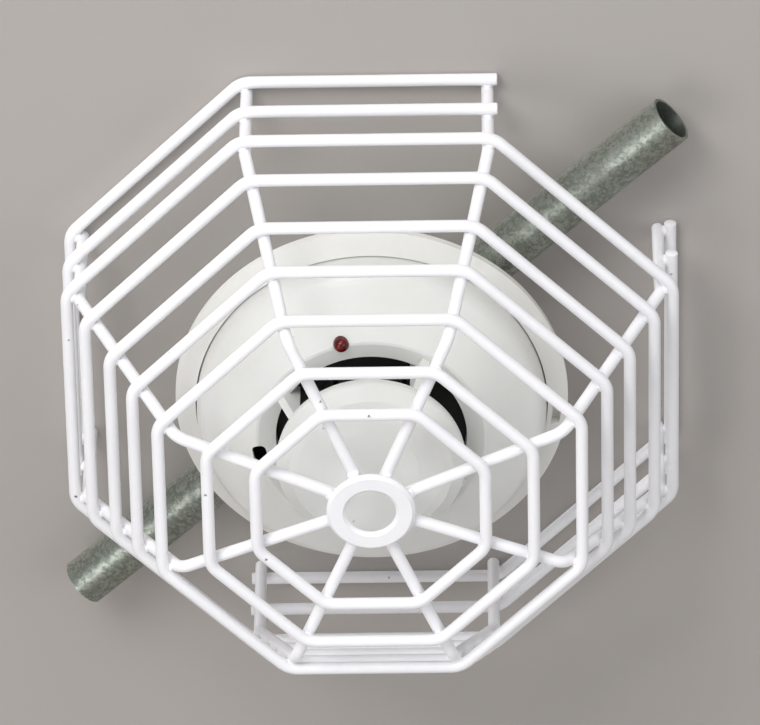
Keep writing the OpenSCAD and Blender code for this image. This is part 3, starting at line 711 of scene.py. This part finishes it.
@dataclass
class Wire:
    """A round wire swept along a path, with its ends closed and softened."""

    radius: float
    sides: int = 20
    end_soft: float = 0.14
    end_flat: float = 0.82

    def sweep(self, path: Sequence[Vector], closed: bool) -> tuple[list[Vector], list[tuple[int, ...]]]:
        """Sweeps the wire.

        Args:
            path: Points of the centre line.
            closed: Whether the last point joins the first.

        Returns:
            Corner points and faces.
        """
        count = len(path)
        rings: list[list[Vector]] = []
        tangents = []
        for i in range(count):
            before = path[i - 1] if i or closed else path[i]
            after = path[(i + 1) % count] if i < count - 1 or closed else path[i]
            tangents.append((after - before).normalized())
        side = tangents[0].orthogonal().normalized()
        for i, point in enumerate(path):
            side = (side - tangents[i] * side.dot(tangents[i])).normalized()
            other = tangents[i].cross(side)
            rings.append([point + (side * math.cos(a) + other * math.sin(a)) * self.radius
                          for a in (2 * math.pi * k / self.sides for k in range(self.sides))])
        if not closed:
            for end, inward in ((0, 1), (-1, -1)):
                soft = self.radius * self.end_soft
                centre, ring = path[end], rings[end]
                cap = [centre + (v - centre) * self.end_flat for v in ring]
                back = tangents[end] * soft * inward
                shifted = [v + back for v in ring]
                rings[end] = shifted
                rings.insert(0 if end == 0 else len(rings), cap)
        verts = [v for ring in rings for v in ring]
        n = self.sides
        faces = []
        spans = len(rings) if closed else len(rings) - 1
        twist = self._seam(rings) if closed else 0
        for i in range(spans):
            j = (i + 1) % len(rings)
            off = twist if j == 0 else 0
            for k in range(n):
                m = (k + 1) % n
                faces.append((i * n + k, i * n + m, j * n + (m + off) % n, j * n + (k + off) % n))
        if not closed:
            faces.append(tuple(reversed(range(n))))
            faces.append(tuple(range((len(rings) - 1) * n, len(rings) * n)))
        return verts, faces

    def _seam(self, rings: list[list[Vector]]) -> int:
        """Returns how many sides the last ring is turned against the first."""
        last = rings[-1][0]
        return min(range(self.sides), key=lambda k: (rings[0][k] - last).length)


def arc(centre: Vector, start: Vector, turn_axis: Vector, angle: float, steps: int) -> list[Vector]:
    """Returns points of an arc.

    Args:
        centre: Centre of the arc.
        start: First point.
        turn_axis: Axis it turns about.
        angle: How far it turns, in radians.
        steps: Number of steps.

    Returns:
        The points, first and last included.
    """
    turns = [Matrix.Rotation(angle * i / steps, 3, turn_axis) for i in range(steps + 1)]
    return [centre + turn @ (start - centre) for turn in turns]


def rounded_path(corners: Sequence[Vector], radii: Sequence[float], steps: int = 6) -> list[Vector]:
    """Rounds the inner corners of a bent path.

    Args:
        corners: The path's corners, its ends included.
        radii: Bend radius of each inner corner.
        steps: Steps in each bend.

    Returns:
        Points of the rounded path.
    """
    path = [corners[0]]
    for before, corner, after, radius in zip(corners, corners[1:], corners[2:], radii):
        a, b = (before - corner).normalized(), (after - corner).normalized()
        half = a.angle(b) / 2
        reach = radius / math.tan(half)
        centre = corner + (a + b).normalized() * radius / math.sin(half)
        axis = a.cross(b).normalized()
        path += arc(centre, corner + a * reach, axis, -(math.pi - 2 * half), steps)
    path.append(corners[-1])
    return path


def smooth_by_angle(piece: bpy.types.Object, degrees: float = 32.0) -> None:
    """Marks a piece smooth except over edges sharper than an angle.

    Args:
        piece: A mesh of this script's own.
        degrees: The angle.
    """
    mesh = piece.data
    edit = bmesh.new()
    edit.from_mesh(mesh)
    for edge in edit.edges:
        edge.smooth = len(edge.link_faces) == 2 and edge.calc_face_angle(0.0) < math.radians(degrees)
    edit.to_mesh(mesh)
    edit.free()


def dress(nodes: Iterable[str], coat: Coat) -> None:
    """Gives CAD nodes a finish.

    Args:
        nodes: The nodes' names.
        coat: Their finish.
    """
    for name in nodes:
        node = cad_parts[name]
        for slot in node.material_slots:
            slot.material = coat.material()
        LOG.info("dressed %s with %s", name, coat.value.name)


def settle(piece: bpy.types.Object, body: str, nodes: Sequence[str] = ()) -> bpy.types.Object:
    """Makes a piece ride on its body and stand for CAD nodes.

    Args:
        piece: The piece.
        body: The body that it moves with.
        nodes: CAD nodes that it stands for.

    Returns:
        The piece.
    """
    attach(piece, body)
    if nodes:
        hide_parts(*nodes)
    LOG.info("%s rides on %s and has %d faces", piece.name, body, len(piece.data.polygons))
    return piece


# --------------------------------------------------------------- sub-assemblies


@dataclass
class Guard:
    """The welded wire guard: ribs, hoops, front rings and centre ring."""

    corner_bend: float = 9.0 * MM
    knee_bend: float = 6.0 * MM
    shoulder_bend: float = 7.0 * MM
    weld_sink: float = 0.15 * MM
    crown_slope: float = 0.05
    shoulder_r: float = 75.3 * MM
    knee_rise: float = 1.0 * MM
    stub: float = 3.6 * MM
    weld_reach: float = 2.15 * MM
    weld_height: float = 1.25 * MM
    weld_rows: int = 7
    weld_steps: int = 14
    hub_share: float = 0.8
    hub_weld_rise: float = 0.7
    straight_ends: dict[int, int] = field(default_factory=lambda: {0: 0, 1: 1, 4: 2, 5: 3})
    body: str = "base"
    wire: Wire = field(init=False)

    def __post_init__(self) -> None:
        """Takes the wire's radius and the guard's sizes from the frame."""
        low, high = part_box("hoop_3")
        self.radius = (high.y - low.y) / 2
        self.wire = Wire(self.radius)
        self.pitch = 2 * self.radius - self.weld_sink
        self.leg_r = self.corner(self.flat("hoop_3")) - self.pitch
        self.knee_z = self.height("hoop_3") + self.knee_rise
        self.shoulder_z = self.height("hoop_7") + self.radius + 0.3 * MM
        self.lean = math.atan((self.leg_r - self.shoulder_r) / (self.height("hoop_7") - self.knee_z))

    @staticmethod
    def height(node: str) -> float:
        """Returns how far a hoop's middle is out of the wall."""
        low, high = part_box(node)
        return -(low.y + high.y) / 2

    def flat(self, node: str) -> float:
        """Returns a hoop's size across flats, on its centre line."""
        low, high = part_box(node)
        return high.x - low.x - 2 * self.radius

    def corner(self, flat: float) -> float:
        """Returns how far the bends of a hoop reach from the axis, on its centre line."""
        return (flat / 2 - self.corner_bend) / math.cos(math.pi / 8) + self.corner_bend

    def rib_r(self, z: float) -> float:
        """Returns how far a rib's sloping side is from the axis at a height."""
        return self.leg_r - (z - self.knee_z) * math.tan(self.lean)

    def spoke_z(self, r: float) -> float:
        """Returns a spoke's height at a distance from the axis."""
        return self.shoulder_z + (self.shoulder_r - r) * self.crown_slope

    def hoop_path(self, flat: float, z: float, first: int = 0, sides: int = 8) -> list[Vector]:
        """Returns the centre line of a hoop, or of a piece of one.

        Args:
            flat: Size across flats.
            z: Height out of the wall.
            first: The first side, where side k faces 45 k degrees.
            sides: How many sides; 8 is a whole hoop.

        Returns:
            The points.
        """
        apothem = flat / 2
        half = (apothem - self.corner_bend) * math.tan(math.pi / 8)
        reach = self.leg_r * math.sin(math.pi / 8) + self.stub
        path = []
        for k in range(first, first + sides):
            turn = Matrix.Rotation(math.pi / 4 * k, 3, "Z")
            start, end = -half, half
            if sides < 8 and k == first:
                start = -reach
                path += [turn @ Vector((apothem, start, 0)), turn @ Vector((apothem, start * 0.9, 0))]
            if sides < 8 and k == first + sides - 1:
                path += [turn @ Vector((apothem, -half, 0)), turn @ Vector((apothem, reach * 0.9, 0)),
                         turn @ Vector((apothem, reach, 0))]
                continue
            centre = turn @ Vector((apothem - self.corner_bend, end, 0))
            if start == -half:
                path += [turn @ Vector((apothem, s * half, 0)) for s in (-0.98, 0.0, 0.98)]
            path += arc(centre, turn @ Vector((apothem, end, 0)), Vector((0, 0, 1)), math.pi / 4, 8)
        return [out_of_wall(p.x, p.y, z) for p in path]

    def rib_path(self, turn: float) -> list[Vector]:
        """Returns the centre line of a rib.

        Args:
            turn: The rib's angle about the axis, in radians.

        Returns:
            The points.
        """
        ring_low, ring_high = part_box("centre_ring")
        hub_r = (ring_high.x - ring_low.x) / 2 * self.hub_share
        flat = [(self.leg_r, 0.0), (self.leg_r, self.knee_z), (self.rib_r(self.shoulder_z), self.shoulder_z),
                (hub_r, self.spoke_z(hub_r))]
        corners = [out_of_wall(r * math.cos(turn), r * math.sin(turn), z) for r, z in flat]
        return rounded_path(corners, (self.knee_bend, self.shoulder_bend), 8)

    def hoops(self) -> None:
        """Builds every hoop and front ring, each in place of its CAD node."""
        whole = ("hoop_3", "hoop_4", "hoop_5", "hoop_6", "hoop_7", "front_ring_outer", "front_ring_inner")
        for node in whole:
            verts, faces = self.wire.sweep(self.hoop_path(self.flat(node), self.height(node)), True)
            settle(make_piece("coated_" + node, verts, faces, Coat.GUARD), self.body, [node])
        cut = (("hoop_1_upper", 2), ("hoop_1_lower", 6), ("hoop_2_upper", 2), ("hoop_2_lower", 6))
        for node, first in cut:
            path = self.hoop_path(self.flat("hoop_3"), self.height(node), first, 3)
            verts, faces = self.wire.sweep(path, False)
            piece = make_piece("coated_" + node, verts, faces, Coat.GUARD)
            smooth_by_angle(piece, 50.0)
            settle(piece, self.body, [node])

    def ribs(self) -> None:
        """Builds the eight ribs, each in place of its CAD node."""
        for k in range(8):
            verts, faces = self.wire.sweep(self.rib_path(math.pi / 4 * k + math.pi / 8), False)
            piece = make_piece(f"coated_rib_{k + 1}", verts, faces, Coat.GUARD)
            smooth_by_angle(piece, 50.0)
            settle(piece, self.body, [f"rib_{k + 1}"])

    def weld_spots(self, k: int) -> list[tuple[Vector, Vector]]:
        """Finds where one rib is welded.

        Args:
            k: The rib, counted from 0.

        Returns:
            The middle of each weld and the way it faces, as right, up and out of the wall.
        """
        turn = math.pi / 4 * k + math.pi / 8
        radial = Vector((math.cos(turn), math.sin(turn), 0.0))
        ahead = Vector((0.0, 0.0, 1.0))
        leg = radial * self.leg_r
        spots = []
        for node in ("hoop_1_upper", "hoop_2_upper"):
            rise = ahead * self.height(node)
            if k in self.straight_ends:
                side = math.pi / 2 * self.straight_ends[k]
                normal = Vector((math.cos(side), math.sin(side), 0.0))
                gap = self.flat("hoop_3") / 2 - leg.dot(normal)
                spots.append((leg + normal * gap / 2 + rise, normal))
            else:
                spots.append((leg + radial * self.pitch / 2 + rise, radial))
        spots.append((leg + radial * self.pitch / 2 + ahead * self.height("hoop_3"), radial))
        out = radial * math.cos(self.lean) + ahead * math.sin(self.lean)
        for node in ("hoop_4", "hoop_5", "hoop_6", "hoop_7"):
            wire = radial * self.corner(self.flat(node)) + ahead * self.height(node)
            spots.append((wire - out * self.pitch / 2, out))
        for node in ("front_ring_outer", "front_ring_inner"):
            r = self.corner(self.flat(node))
            spots.append((radial * r + ahead * (self.height(node) - self.pitch / 2), ahead))
        low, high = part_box("centre_ring")
        rim = (high.x - low.x) / 2
        rise = self.spoke_z(rim) + self.radius * self.hub_weld_rise
        spots.append((radial * rim + ahead * rise, (radial + ahead).normalized()))
        return spots

    def bead(self, centre: Vector, axis: Vector, along: Vector, rng: random.Random) -> list[Vector]:
        """Returns the points of one coated weld, ring by ring.

        Args:
            centre: Its middle.
            axis: The way it faces, where it is flattest.
            along: A direction across it.
            rng: What makes its lumps.

        Returns:
            The points, none of them behind the wall's face.
        """
        other = axis.cross(along)
        grow = rng.uniform(0.9, 1.12)
        points = []
        for i in range(self.weld_rows + 1):
            tilt = math.pi * i / self.weld_rows
            for j in range(self.weld_steps):
                a = 2 * math.pi * j / self.weld_steps
                swell = grow * (1 + 0.06 * rng.uniform(-1, 1))
                p = centre + axis * math.cos(tilt) * self.weld_height * swell
                p += (along * math.cos(a) + other * math.sin(a)) * math.sin(tilt) * self.weld_reach * swell
                points.append(out_of_wall(p.x, p.y, max(p.z, 0.0)))
        return points

    def welds(self) -> None:
        """Builds the coated welds where ribs meet hoops and rings, as one piece."""
        verts: list[Vector] = []
        faces: list[tuple[int, ...]] = []
        rng = random.Random(11)
        for k in range(8):
            turn = math.pi / 4 * k + math.pi / 8
            along = Vector((-math.sin(turn), math.cos(turn), 0.0))
            for centre, axis in self.weld_spots(k):
                base = len(verts)
                verts += self.bead(centre, axis, (along - axis * along.dot(axis)).normalized(), rng)
                for i in range(self.weld_rows):
                    for j in range(self.weld_steps):
                        m = (j + 1) % self.weld_steps
                        low, high = base + i * self.weld_steps, base + (i + 1) * self.weld_steps
                        faces.append((low + j, low + m, high + m, high + j))
        piece = make_piece("coated_welds", verts, faces, Coat.GUARD)
        edit = bmesh.new()
        edit.from_mesh(piece.data)
        bmesh.ops.remove_doubles(edit, verts=edit.verts, dist=0.05 * MM)
        bmesh.ops.dissolve_degenerate(edit, edges=edit.edges, dist=0.01 * MM)
        bmesh.ops.recalc_face_normals(edit, faces=edit.faces)
        edit.to_mesh(piece.data)
        edit.free()
        settle(piece, self.body)

    def build(self) -> None:
        """Builds and dresses the whole guard."""
        self.hoops()
        self.ribs()
        self.welds()
        dress(["centre_ring"], Coat.GUARD)


@dataclass
class Detector:
    """The detector: its base, the head and what they hold."""

    def build(self) -> None:
        """Dresses the head and the base."""
        dress(["head_cover", "sensor_cap"], Coat.HEAD)
        dress(["base_ring", "head_back"], Coat.BASE)
        # The baffle's near-black finish is black plastic plus painted shade for the dark opening.
        dress(["air_baffle"], Coat.BAFFLE)
        dress(["circuit_board"], Coat.BOARD)
        dress(["contact_blades", "terminal_clips"], Coat.BRASS)
        dress(["case_screws", "board_screws", "clamp_plates", "terminal_screws", "base_screws"], Coat.SCREW)
        dress(["thermistor_bead"], Coat.BEAD)
        dress(["thermistor_leads", "lamp_leads"], Coat.LEAD)
        dress(["thermistor_holder"], Coat.HOLDER)
        dress(["alarm_lamp"], Coat.LAMP)
        dress(["controller_chip"], Coat.CHIP)
        dress(["capacitor"], Coat.SLEEVE)
        dress(["resistors"], Coat.RESISTOR)
        dress(["reed_switch"], Coat.REED)


@dataclass
class BackBox:
    """The octagon box, its conduits and their fittings."""

    def build(self) -> None:
        """Dresses the box, conduits, connectors and locknuts."""
        dress(["back_box"], Coat.BOX)
        dress(["ground_screw"], Coat.EARTH)
        dress(["conduit_upper", "conduit_lower"], Coat.CONDUIT)
        dress(["connector_upper", "connector_lower", "locknut_upper", "locknut_lower"], Coat.FITTING)
        dress(["connector_set_screws"], Coat.SCREW)


@dataclass
class Studio:
    """Wall, floor, lights and camera."""

    target: Vector = field(default_factory=lambda: Vector((0.002585, 0.0, -0.014131)))
    distance: float = 3.1174
    elevation: float = 33.83
    azimuth: float = 0.869
    roll: float = -1.22
    lens: float = 404.06
    wall_gap: float = 0.6 * MM
    wall_half: float = 1.6
    wall_top: float = 1.3
    floor_reach: float = 2.6
    cove_steps: int = 16
    sky_colour: Colour = (0.93, 0.94, 0.96)
    sky_strength: float = 0.40
    floor_drop: float = 0.55
    cove: float = 0.3

    def backdrop(self) -> None:
        """Builds the wall and the floor as one swept sheet."""
        line = [(self.wall_gap, self.wall_top)]
        for i in range(self.cove_steps + 1):
            a = math.pi / 2 * i / self.cove_steps
            line.append((self.wall_gap - self.cove * (1 - math.cos(a)),
                         -self.floor_drop + self.cove * (1 - math.sin(a))))
        line.append((-self.floor_reach, -self.floor_drop))
        verts = [(side * self.wall_half, y, z) for y, z in line for side in (-1, 1)]
        faces = [(2 * i, 2 * i + 1, 2 * i + 3, 2 * i + 2) for i in range(len(line) - 1)]
        sheet = make_piece("studio_wall", verts, faces, Coat.WALL)
        edit = bmesh.new()
        edit.from_mesh(sheet.data)
        edit.faces.ensure_lookup_table()
        if edit.faces[0].normal.y > 0:
            bmesh.ops.reverse_faces(edit, faces=edit.faces)
        edit.to_mesh(sheet.data)
        edit.free()

    def soft_light(self, name: str, spot: Sequence[float], size: float, power: float, tint: Colour) -> None:
        """Adds a square area light that faces the object.

        Args:
            name: The light's name.
            spot: Where it stands.
            size: Its side, in metres.
            power: Its power in watts.
            tint: Its colour.
        """
        data = bpy.data.lights.new(name, "AREA")
        data.shape = "SQUARE"
        data.size = size
        data.energy = power
        data.color = tint
        light = bpy.data.objects.new(name, data)
        light.location = spot
        light.rotation_euler = (self.target - Vector(spot)).to_track_quat("-Z", "Y").to_euler()
        bpy.context.scene.collection.objects.link(light)

    def lights(self) -> None:
        """Adds the lights and the sky."""
        self.soft_light("key_light", (-0.9, -1.5, 1.9), 1.1, 33.0, (1.0, 0.99, 0.98))
        self.soft_light("fill_light", (1.5, -1.7, 0.6), 1.5, 10.0, (0.96, 0.98, 1.0))
        self.soft_light("side_light", (-1.15, -1.7, 0.07), 1.0, 9.0, (1.0, 1.0, 1.0))
        self.soft_light("top_light", (0.2, -0.5, 1.7), 1.0, 6.0, (1.0, 1.0, 1.0))
        self.soft_light("back_light", (-1.2, 1.6, 0.8), 1.6, 20.0, (1.0, 1.0, 1.0))
        world = bpy.data.worlds.new("studio_sky")
        world.use_nodes = True
        sky = world.node_tree.nodes["Background"]
        sky.inputs["Color"].default_value = (*self.sky_colour, 1.0)
        sky.inputs["Strength"].default_value = self.sky_strength
        bpy.context.scene.world = world
        bpy.context.scene.view_settings.view_transform = "Standard"

    def camera(self) -> None:
        """Adds the camera, far off with a long lens."""
        e, a = math.radians(self.elevation), math.radians(self.azimuth)
        away = Vector((math.sin(a) * math.cos(e), -math.cos(a) * math.cos(e), math.sin(e)))
        right = Vector((math.cos(a), math.sin(a), 0.0))
        up = away.cross(right)
        r = math.radians(self.roll)
        across = right * math.cos(r) + up * math.sin(r)
        upward = up * math.cos(r) - right * math.sin(r)
        data = bpy.data.cameras.new("camera")
        data.lens = self.lens
        data.sensor_width = 36.0
        data.clip_start = 0.1
        data.clip_end = 60.0
        camera = bpy.data.objects.new("camera", data)
        turn = Matrix((across, upward, away)).transposed().to_4x4()
        camera.matrix_world = Matrix.Translation(self.target + away * self.distance) @ turn
        bpy.context.scene.collection.objects.link(camera)
        bpy.context.scene.camera = camera

    def build(self) -> None:
        """Builds the studio."""
        self.camera()
        self.backdrop()
        self.lights()


def main() -> None:
    """Builds the sub-assemblies in order."""
    logging.basicConfig(level=logging.INFO, format="%(name)s: %(message)s")
    for part in (Studio(), BackBox(), Detector(), Guard()):
        part.build()
        LOG.info("%s is done", type(part).__name__)


if __name__ == "__main__":
    main()
